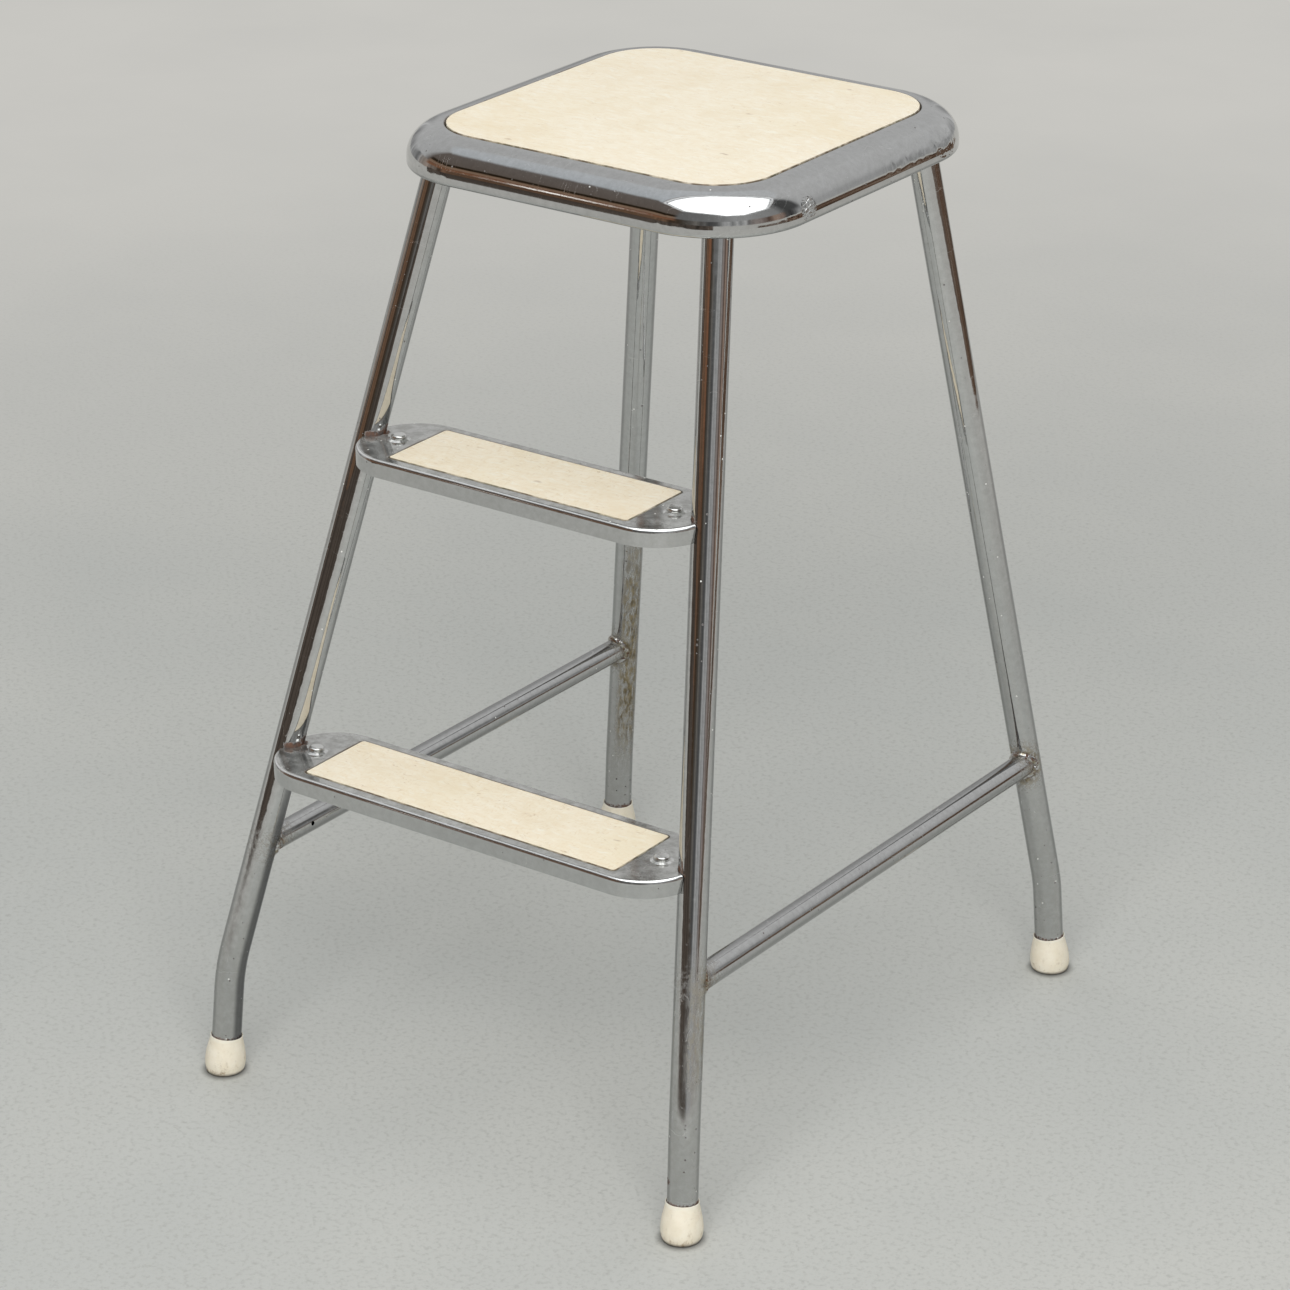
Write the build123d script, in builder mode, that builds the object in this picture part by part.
from build123d import *
import os

# Two-tread tubular step stool: chromed steel tube frame, square seat pan with a
# rolled rim and an inlaid laminate panel, two narrow treads between the front
# legs, two side rails, rubber ferrules on the floor.
#
# Frame: origin on the floor at the centre of the footprint, +Z up,
# treads at the front (-Y), left-right symmetric about X = 0, right is +X.

# ---------------------------------------------------------------- dimensions
# tube and sheet stock
TUBE_R = 9.525            # 3/4 in legs
RAIL_R = 7.94             # 5/8 in side rails
WALL = 1.2
SHEET = 1.2               # pressed steel pans

# heights
SEAT_Z = 607.6            # top of the seat laminate
UPPER_Z = 420.2           # top of the upper tread laminate
LOWER_Z = 221.4           # top of the lower tread laminate
RAIL_Z = 153.9            # side rail axis
LEG_TOP_Z = SEAT_Z - 10.0 # legs are cut level here

# legs
SEAT_Y = 40.2             # seat centre, behind the footprint centre
KNEE_R = 150.0            # radius of the tube bend
LEG_OVERRUN = 6.0         # tube swept this far above the seat, then cut level
CUT_REACH = 60.0          # leg-shaped cuts reach this far above and below a part
WELD_GAP = 0.05           # gap between a leg and a part coped to it

# rubber ferrule, measured along the leg from the floor
FERRULE_H = 24.8
FERRULE_BASE = 6.5        # rubber under the washer
FERRULE_UNDERCUT = 4.0    # profile starts this far below the floor, then is cut level
FERRULE_LIP_R = 9.9       # inner end of the rounded top lip
WASHER_T = 1.5
WASHER_CLEAR = 0.2        # washer rim to ferrule bore
WASHER_HOLE_R = 3.0
SOLE_RING_R, SOLE_RING_IN_R, SOLE_RING_DEPTH = 8.2, 5.8, 1.2
# outer side of the ferrule: (radius, height)
FERRULE_SIDE = [(12.2, 0.9), (13.3, 6.6), (12.55, 14.0), (11.1, 20.5), (10.55, FERRULE_H - 0.8)]

# side rails
RAIL_X = 165.0
DRAIN_R = 1.5
DRAIN_Y = 40.0            # drain hole, behind the front leg axis
DRAIN_DEPTH = 20.0

# seat pan
SEAT_IN = 115.7           # half size of the recess for the seat laminate
SEAT_IN_R = 39.3          # its corner radius
RIM_W = 23.8              # width of the rolled rim
RIM_WIDE = 20.0           # widest point of the rim below the laminate top
RIM_H = 25.8              # bottom of the rim below the laminate top
NOSE_R = 1.0              # rounding where the rim meets the recess
HEM_R = 2.8               # outer radius of the turned-in bottom edge
HEM_W = 7.5               # width of the turned-in bottom edge
ARC_MID = 0.293           # inset of a quarter arc's middle, per unit radius
TRAY_LAP = 0.5            # tray floor runs this far into the rim wall

# inlaid panels: a board with a laminate on top
LIP = 0.3                 # laminate stands this much proud of the pans
GAP = 0.6                 # panel to pan gap
LAM_T = 1.5
LAM_CHAMFER = 0.35
SEAT_BOARD_T = 3.0
TREAD_BOARD_T = 2.5

# seat crossbars and their fasteners
BAR_W, BAR_T = 22.0, 4.0
BAR_END = 11.5            # bar ends this far beyond the leg axis
STUD_X, STUD_R, STUD_LEN = 58.0, 3.0, 13.0
STUD_CLEAR = 0.3
STUD_CHAMFER = 0.6
STUD_WASHER_R, STUD_WASHER_T = 6.2, 1.2
STUD_NUT_FLAT_R, STUD_NUT_H = 5.0, 5.0
WASHER_BORE_CLEAR = 0.15  # radial clearance of washers on studs and screws

# treads
TREAD_HW = 37.0           # half width of the tread pan
TREAD_SKIRT = 11.3        # depth of its turned-down edge
TREAD_EDGE_R = 2.5
TREAD_TIP = 1.0           # pan ends this far beyond the leg axis
NOTCH_CLEAR = 0.4         # gap between notch and leg
INLAY_HW = 29.5           # half width of the tread recess
INLAY_R = 3.0
RECESS_CUT = 10.0         # cut height, enough to clear the pan top

# tread fasteners and lugs
SCREW_IN = 22.9           # tread screw, inboard of the leg axis
BOSS_R, BOSS_TOP_R, BOSS_H = 7.2, 5.4, 0.9
M4_HEAD_R, M4_HEAD_H, M4_R, M4_LEN = 4.7, 2.5, 2.0, 10.5
M4_HEAD_FILLET = 1.3
M4_CLEAR = 0.3
M4_CUT = 20.0             # length of the cutter for the screw holes
M4_WASHER_R, M4_WASHER_T = 4.5, 0.8
M4_NUT_FLAT_R, M4_NUT_H = 3.5, 3.2
LUG_L, LUG_W, LUG_T = 32.0, 20.0, 3.0
LUG_CORNER_R = 4.0
LUG_TRIM = 2.0            # lug is cut off this far inboard of the leg axis

# derived heights
TUBE_SEAT = FERRULE_BASE + WASHER_T
TRAY_TOP = SEAT_Z - LAM_T - SEAT_BOARD_T
BAR_Z = TRAY_TOP - SHEET - BAR_T


class Leg:
    """Axis of a right-hand leg: straight from the seat to a knee, then to the floor."""

    def __init__(self, x, y, run_x, run_y, knee_z, foot):
        # x, y are at seat height; run_x, run_y are the travel per mm of drop
        self.x, self.y = x, y
        self.run_x, self.run_y = run_x, run_y
        self.floor = Vector(*foot, 0)
        self.knee = self.at(knee_z)
        self.up = (self.knee - self.floor).normalized()    # lower part, upwards
        self.down = (self.at(0) - self.at(SEAT_Z)).normalized()    # upper part, downwards
        self.top = self.at(LEG_TOP_Z)
        self.foot_plane = Plane(origin=self.floor, x_dir=(1, 0, 0), z_dir=self.up)

    def at(self, z):
        drop = SEAT_Z - z
        return Vector(self.x + self.run_x * drop, self.y + self.run_y * drop, z)

    def cut_plane(self, z, side=1):
        """Plane across the leg above height z; side is 1 for right, -1 for left."""
        start = self.at(z + CUT_REACH)
        return Plane(origin=Vector(side * start.X, start.Y, start.Z),
                     z_dir=(side * self.down.X, self.down.Y, self.down.Z))


FRONT = Leg(x=99.4, y=SEAT_Y - 105.2, run_x=0.146, run_y=-0.269,
            knee_z=72.4, foot=(180.2, -215.4))
REAR = Leg(x=98.8, y=SEAT_Y + 105.3, run_x=0.143, run_y=0.125,
           knee_z=64.8, foot=(180.3, 215.4))


class Tread:
    """Placement of one tread between the front legs."""

    def __init__(self, z, y, inlay_half_length):
        self.z, self.y = z, y
        self.inlay_half_length = inlay_half_length
        self.leg_x = FRONT.at(z).X
        self.pan_z = z - LIP                       # top of the pan
        self.tray_z = z - LAM_T - TREAD_BOARD_T    # floor of the recess
        self.lug_z = self.pan_z - SHEET            # top of the lugs
        self.screw_x = self.leg_x - SCREW_IN
        self.screws = [(-self.screw_x, y), (self.screw_x, y)]


UPPER = Tread(z=UPPER_Z, y=-116.0, inlay_half_length=90.2)
LOWER = Tread(z=LOWER_Z, y=-169.6, inlay_half_length=119.2)


def mirrored(part):
    """Left-hand copy of a right-hand piece."""
    with BuildPart() as copy:
        mirror(part, about=Plane.YZ)
    return copy.part


# --------------------------------------------------------------------- frame
def leg_tube(leg):
    """One tube, gently bent near the floor and cut level at the top."""
    with BuildPart() as tube:
        with BuildLine() as path:
            FilletPolyline(leg.floor + leg.up * TUBE_SEAT, leg.knee,
                           leg.at(SEAT_Z + LEG_OVERRUN), radius=KNEE_R)
        with BuildSketch(Plane(origin=path.line @ 0, z_dir=path.line % 0)):
            Circle(TUBE_R)
            Circle(TUBE_R - WALL, mode=Mode.SUBTRACT)
        sweep(path=path.line)
        split(bisect_by=Plane.XY.offset(LEG_TOP_Z), keep=Keep.BOTTOM)
    return tube.part


def ferrule(leg):
    """Rubber foot: thin lip at the top, fullest just above the floor."""
    plane = leg.foot_plane
    base_r, lip_end = FERRULE_SIDE[0][0], FERRULE_SIDE[-1]
    with BuildPart() as foot:
        with BuildSketch(Plane(origin=plane.origin, x_dir=plane.x_dir, z_dir=-plane.y_dir)):
            with BuildLine():
                Polyline((0, FERRULE_BASE), (0, -FERRULE_UNDERCUT), (base_r, -FERRULE_UNDERCUT),
                         FERRULE_SIDE[0])
                Spline(*FERRULE_SIDE, tangents=[(0.45, 1), (-0.06, 1)])
                ThreePointArc(lip_end, (10.3, FERRULE_H - 0.1), (FERRULE_LIP_R, FERRULE_H))
                Polyline((FERRULE_LIP_R, FERRULE_H), (TUBE_R, FERRULE_H),
                         (TUBE_R, FERRULE_BASE), (0, FERRULE_BASE))
            make_face()
        revolve(axis=Axis(leg.floor, leg.up))
        split(bisect_by=Plane.XY, keep=Keep.TOP)
        # tread ring in the sole
        with BuildSketch(Plane.XY):
            with Locations(leg.floor):
                Circle(SOLE_RING_R)
                Circle(SOLE_RING_IN_R, mode=Mode.SUBTRACT)
        extrude(amount=SOLE_RING_DEPTH, mode=Mode.SUBTRACT)
    return foot.part


def foot_washers():
    """Steel washers that stop the tube ends cutting through the rubber."""
    with BuildPart() as rings:
        for leg in (FRONT, REAR):
            with BuildSketch(leg.foot_plane.offset(FERRULE_BASE)):
                Circle(TUBE_R - WASHER_CLEAR)
                Circle(WASHER_HOLE_R, mode=Mode.SUBTRACT)
            extrude(amount=WASHER_T)
        mirror(about=Plane.YZ)
    return rings.part


def side_rail():
    """Straight tube, coped to the front and rear leg at its ends."""
    front_y, rear_y = FRONT.at(RAIL_Z).Y, REAR.at(RAIL_Z).Y
    with BuildPart() as rail:
        with BuildSketch(Plane(origin=(RAIL_X, front_y, RAIL_Z), x_dir=(1, 0, 0),
                               z_dir=(0, 1, 0))):
            Circle(RAIL_R)
            Circle(RAIL_R - WALL, mode=Mode.SUBTRACT)
        extrude(amount=rear_y - front_y)
        for leg in (FRONT, REAR):
            with BuildSketch(leg.cut_plane(RAIL_Z)):
                Circle(TUBE_R + WELD_GAP)
            extrude(amount=2 * CUT_REACH, mode=Mode.SUBTRACT)
        # drain hole for plating, on the inner side near the front leg
        with BuildSketch(Plane(origin=(RAIL_X, front_y + DRAIN_Y, RAIL_Z), x_dir=(0, 1, 0),
                               z_dir=(-1, 0, 0.15))):
            Circle(DRAIN_R)
        extrude(amount=DRAIN_DEPTH, mode=Mode.SUBTRACT)
    return rail.part


# ------------------------------------------------------------- shared pieces
def inlay_layer(bottom_z, y, half_x, half_y, corner_r, thickness, top_chamfer=0):
    """One layer of an inlaid panel, smaller than its recess by the gap all round."""
    with BuildPart() as layer:
        with BuildSketch(Plane.XY.offset(bottom_z)):
            with Locations((0, y)):
                RectangleRounded(2 * (half_x - GAP), 2 * (half_y - GAP), corner_r - GAP)
        extrude(amount=thickness)
        if top_chamfer:
            chamfer(layer.faces().sort_by(Axis.Z)[-1].edges(), top_chamfer)
    return layer.part


def washers(stacks, radius, hole_r, thickness):
    """Washers hanging below each (z, points) entry of stacks."""
    with BuildPart() as rings:
        for z, points in stacks:
            with BuildSketch(Plane.XY.offset(z)):
                with Locations(*points):
                    Circle(radius)
                    Circle(hole_r, mode=Mode.SUBTRACT)
            extrude(amount=-thickness)
    return rings.part


def nuts(stacks, flat_r, hole_r, height):
    """Hexagon nuts hanging below each (z, points) entry of stacks."""
    with BuildPart() as hexagons:
        for z, points in stacks:
            with BuildSketch(Plane.XY.offset(z)):
                with Locations(*points):
                    RegularPolygon(flat_r, 6, major_radius=False)
                    Circle(hole_r, mode=Mode.SUBTRACT)
            extrude(amount=-height)
    return hexagons.part


# ---------------------------------------------------------------------- seat
def seat_pan():
    """Pressed pan: rolled rim around a shallow tray that holds the panel."""
    with BuildSketch(Plane.XY.offset(SEAT_Z)) as recess:
        with Locations((0, SEAT_Y)):
            RectangleRounded(2 * SEAT_IN, 2 * SEAT_IN, SEAT_IN_R)
    path = recess.sketch.wires()[0]
    start = path @ 0
    outward = (path % 0).normalized().cross(Vector(0, 0, 1))
    if outward.dot(Vector(start.X, start.Y - SEAT_Y, 0)) < 0:
        outward = -outward

    # rim section: x outward from the recess edge, y up from the laminate top
    tray_bottom = TRAY_TOP - SHEET - SEAT_Z
    hem_x, hem_y = RIM_W - HEM_R, -RIM_H + HEM_R    # centre of the bottom bend
    hem_mid = ARC_MID * HEM_R
    hem_in_mid = SHEET + ARC_MID * (HEM_R - SHEET)
    with BuildPart() as pan:
        with BuildSketch(Plane(origin=start, x_dir=outward,
                               z_dir=outward.cross(Vector(0, 0, 1)))):
            with BuildLine():
                # outside: tray wall, nose, quarter-round top, wall, turned-in edge
                Line((0, tray_bottom), (0, -LIP - NOSE_R))
                ThreePointArc((0, -LIP - NOSE_R), (ARC_MID * NOSE_R, -LIP - ARC_MID * NOSE_R),
                              (NOSE_R, -LIP))
                EllipticalCenterArc((NOSE_R, -RIM_WIDE), RIM_W - NOSE_R, RIM_WIDE - LIP,
                                    start_angle=0, arc_size=90)
                Line((RIM_W, -RIM_WIDE), (RIM_W, hem_y))
                ThreePointArc((RIM_W, hem_y), (RIM_W - hem_mid, -RIM_H + hem_mid),
                              (hem_x, -RIM_H))
                # round the turned-in edge, then back along the inside face
                Polyline((hem_x, -RIM_H), (RIM_W - HEM_W, -RIM_H),
                         (RIM_W - HEM_W, -RIM_H + SHEET), (hem_x, -RIM_H + SHEET))
                ThreePointArc((hem_x, -RIM_H + SHEET), (RIM_W - hem_in_mid, -RIM_H + hem_in_mid),
                              (RIM_W - SHEET, hem_y))
                Line((RIM_W - SHEET, hem_y), (RIM_W - SHEET, -RIM_WIDE))
                EllipticalCenterArc((SHEET, -RIM_WIDE), RIM_W - 2 * SHEET,
                                    RIM_WIDE - LIP - SHEET, start_angle=0, arc_size=90)
                Polyline((SHEET, -LIP - SHEET), (SHEET, tray_bottom), (0, tray_bottom))
            make_face()
        sweep(path=path)
        # tray floor
        with BuildSketch(Plane.XY.offset(TRAY_TOP - SHEET)):
            with Locations((0, SEAT_Y)):
                RectangleRounded(2 * (SEAT_IN + TRAY_LAP), 2 * (SEAT_IN + TRAY_LAP),
                                 SEAT_IN_R + TRAY_LAP)
        extrude(amount=SHEET)
    return pan.part


def crossbar(leg):
    """Flat bar that ties a pair of leg tops together and carries the seat."""
    with BuildPart() as bar:
        with BuildSketch(Plane.XY.offset(BAR_Z)):
            with Locations((0, leg.top.Y)):
                SlotOverall(2 * (leg.top.X + BAR_END), BAR_W)
            with Locations((-STUD_X, leg.top.Y), (STUD_X, leg.top.Y)):
                Circle(STUD_R + STUD_CLEAR, mode=Mode.SUBTRACT)
        extrude(amount=BAR_T)
    return bar.part


def seat_studs(points):
    """Studs welded to the underside of the tray."""
    with BuildPart() as studs:
        with BuildSketch(Plane.XY.offset(TRAY_TOP - SHEET)):
            with Locations(*points):
                Circle(STUD_R)
        extrude(amount=-STUD_LEN)
        chamfer(studs.faces().group_by(Axis.Z)[0].edges(), STUD_CHAMFER)
    return studs.part


# -------------------------------------------------------------------- treads
def tread_pan(tread):
    """Slot-shaped plate with a turned-down edge, a tray and leg notches."""
    boss_align = (Align.CENTER, Align.CENTER, Align.MIN)
    tray_start = tread.pan_z - SHEET / 2    # inside the sheet, so the tray joins it
    with BuildPart() as pan:
        with BuildSketch(Plane.XY.offset(tread.pan_z)):
            with Locations((0, tread.y)):
                SlotOverall(2 * (tread.leg_x + TREAD_TIP), 2 * TREAD_HW)
        extrude(amount=-TREAD_SKIRT)
        fillet(pan.faces().sort_by(Axis.Z)[-1].edges(), TREAD_EDGE_R)
        offset(amount=-SHEET, openings=pan.faces().sort_by(Axis.Z)[0])
        # tray for the panel
        with BuildSketch(Plane.XY.offset(tray_start)):
            with Locations((0, tread.y)):
                RectangleRounded(2 * (tread.inlay_half_length + SHEET), 2 * (INLAY_HW + SHEET),
                                 INLAY_R + SHEET)
        extrude(amount=-(tray_start - tread.tray_z + SHEET))
        with BuildSketch(Plane.XY.offset(tread.tray_z)):
            with Locations((0, tread.y)):
                RectangleRounded(2 * tread.inlay_half_length, 2 * INLAY_HW, INLAY_R)
        extrude(amount=RECESS_CUT, mode=Mode.SUBTRACT)
        # pressed screw bosses
        for x, y in tread.screws:
            with Locations((x, y, tread.pan_z)):
                Cone(BOSS_R, BOSS_TOP_R, BOSS_H, align=boss_align)
            with Locations((x, y, tread.pan_z - SHEET)):
                Cone(BOSS_R, BOSS_TOP_R, BOSS_H, align=boss_align, mode=Mode.SUBTRACT)
            with Locations((x, y, tread.pan_z)):
                Cylinder(M4_R + M4_CLEAR, M4_CUT, mode=Mode.SUBTRACT)
        # notches that hug the legs
        for side in (1, -1):
            with BuildSketch(FRONT.cut_plane(tread.z, side)):
                Circle(TUBE_R + NOTCH_CLEAR)
            extrude(amount=2 * CUT_REACH, mode=Mode.SUBTRACT)
    return pan.part


def tread_lug(tread):
    """Flat lug welded to the right front leg, under the end of a tread."""
    with BuildPart() as lug:
        with BuildSketch(Plane.XY.offset(tread.lug_z)):
            with Locations((tread.leg_x - LUG_L / 2, tread.y)):
                RectangleRounded(LUG_L, LUG_W, LUG_CORNER_R)
            with Locations((tread.screw_x, tread.y)):
                Circle(M4_R + M4_CLEAR, mode=Mode.SUBTRACT)
        extrude(amount=-LUG_T)
        with BuildSketch(FRONT.cut_plane(tread.z)):
            Circle(TUBE_R + WELD_GAP)
        extrude(amount=2 * CUT_REACH, mode=Mode.SUBTRACT)
        split(bisect_by=Plane(origin=(tread.leg_x - LUG_TRIM, 0, 0), z_dir=(1, 0, 0)),
              keep=Keep.BOTTOM)
    return lug.part


def tread_screws(tread):
    """Round-headed screws standing on the bosses."""
    with BuildPart() as screws:
        with BuildSketch(Plane.XY.offset(tread.pan_z + BOSS_H)):
            with Locations(*tread.screws):
                Circle(M4_HEAD_R)
        extrude(amount=M4_HEAD_H)
        fillet(screws.faces().group_by(Axis.Z)[-1].edges(), M4_HEAD_FILLET)
        with BuildSketch(Plane.XY.offset(tread.pan_z + BOSS_H)):
            with Locations(*tread.screws):
                Circle(M4_R)
        extrude(amount=-M4_LEN)
    return screws.part


# ------------------------------------------------------------------ assembly
parts = {}

# pieces that come in right and left pairs
right_parts = {
    "front_{}_leg": leg_tube(FRONT),
    "rear_{}_leg": leg_tube(REAR),
    "front_{}_foot": ferrule(FRONT),
    "rear_{}_foot": ferrule(REAR),
    "{}_side_rail": side_rail(),
    "upper_{}_lug": tread_lug(UPPER),
    "lower_{}_lug": tread_lug(LOWER),
}
for pattern, right_part in right_parts.items():
    parts[pattern.format("right")] = right_part
    parts[pattern.format("left")] = mirrored(right_part)

parts["foot_washers"] = foot_washers()

seat_recess = (SEAT_Y, SEAT_IN, SEAT_IN, SEAT_IN_R)
stud_points = [(x, leg.top.Y) for leg in (FRONT, REAR) for x in (-STUD_X, STUD_X)]
parts["seat_pan"] = seat_pan()
parts["seat_board"] = inlay_layer(TRAY_TOP, *seat_recess, SEAT_BOARD_T)
parts["seat_laminate"] = inlay_layer(TRAY_TOP + SEAT_BOARD_T, *seat_recess, LAM_T, LAM_CHAMFER)
parts["front_crossbar"] = crossbar(FRONT)
parts["rear_crossbar"] = crossbar(REAR)
parts["seat_studs"] = seat_studs(stud_points)
parts["seat_washers"] = washers([(BAR_Z, stud_points)], STUD_WASHER_R,
                                STUD_R + WASHER_BORE_CLEAR, STUD_WASHER_T)
parts["seat_nuts"] = nuts([(BAR_Z - STUD_WASHER_T, stud_points)], STUD_NUT_FLAT_R,
                          STUD_R, STUD_NUT_H)

for level, tread in (("upper", UPPER), ("lower", LOWER)):
    tread_recess = (tread.y, tread.inlay_half_length, INLAY_HW, INLAY_R)
    parts[f"{level}_tread_pan"] = tread_pan(tread)
    parts[f"{level}_tread_board"] = inlay_layer(tread.tray_z, *tread_recess, TREAD_BOARD_T)
    parts[f"{level}_tread_laminate"] = inlay_layer(tread.tray_z + TREAD_BOARD_T, *tread_recess,
                                                   LAM_T, LAM_CHAMFER)
    parts[f"{level}_tread_screws"] = tread_screws(tread)

washer_stacks = [(tread.lug_z - LUG_T, tread.screws) for tread in (UPPER, LOWER)]
nut_stacks = [(z - M4_WASHER_T, points) for z, points in washer_stacks]
parts["tread_washers"] = washers(washer_stacks, M4_WASHER_R, M4_R + WASHER_BORE_CLEAR,
                                 M4_WASHER_T)
parts["tread_nuts"] = nuts(nut_stacks, M4_NUT_FLAT_R, M4_R, M4_NUT_H)

# -------------------------------------------------------------------- export
os.makedirs("parts", exist_ok=True)
for name, part in parts.items():
    part.label = name
    export_step(part, f"parts/{name}.step")
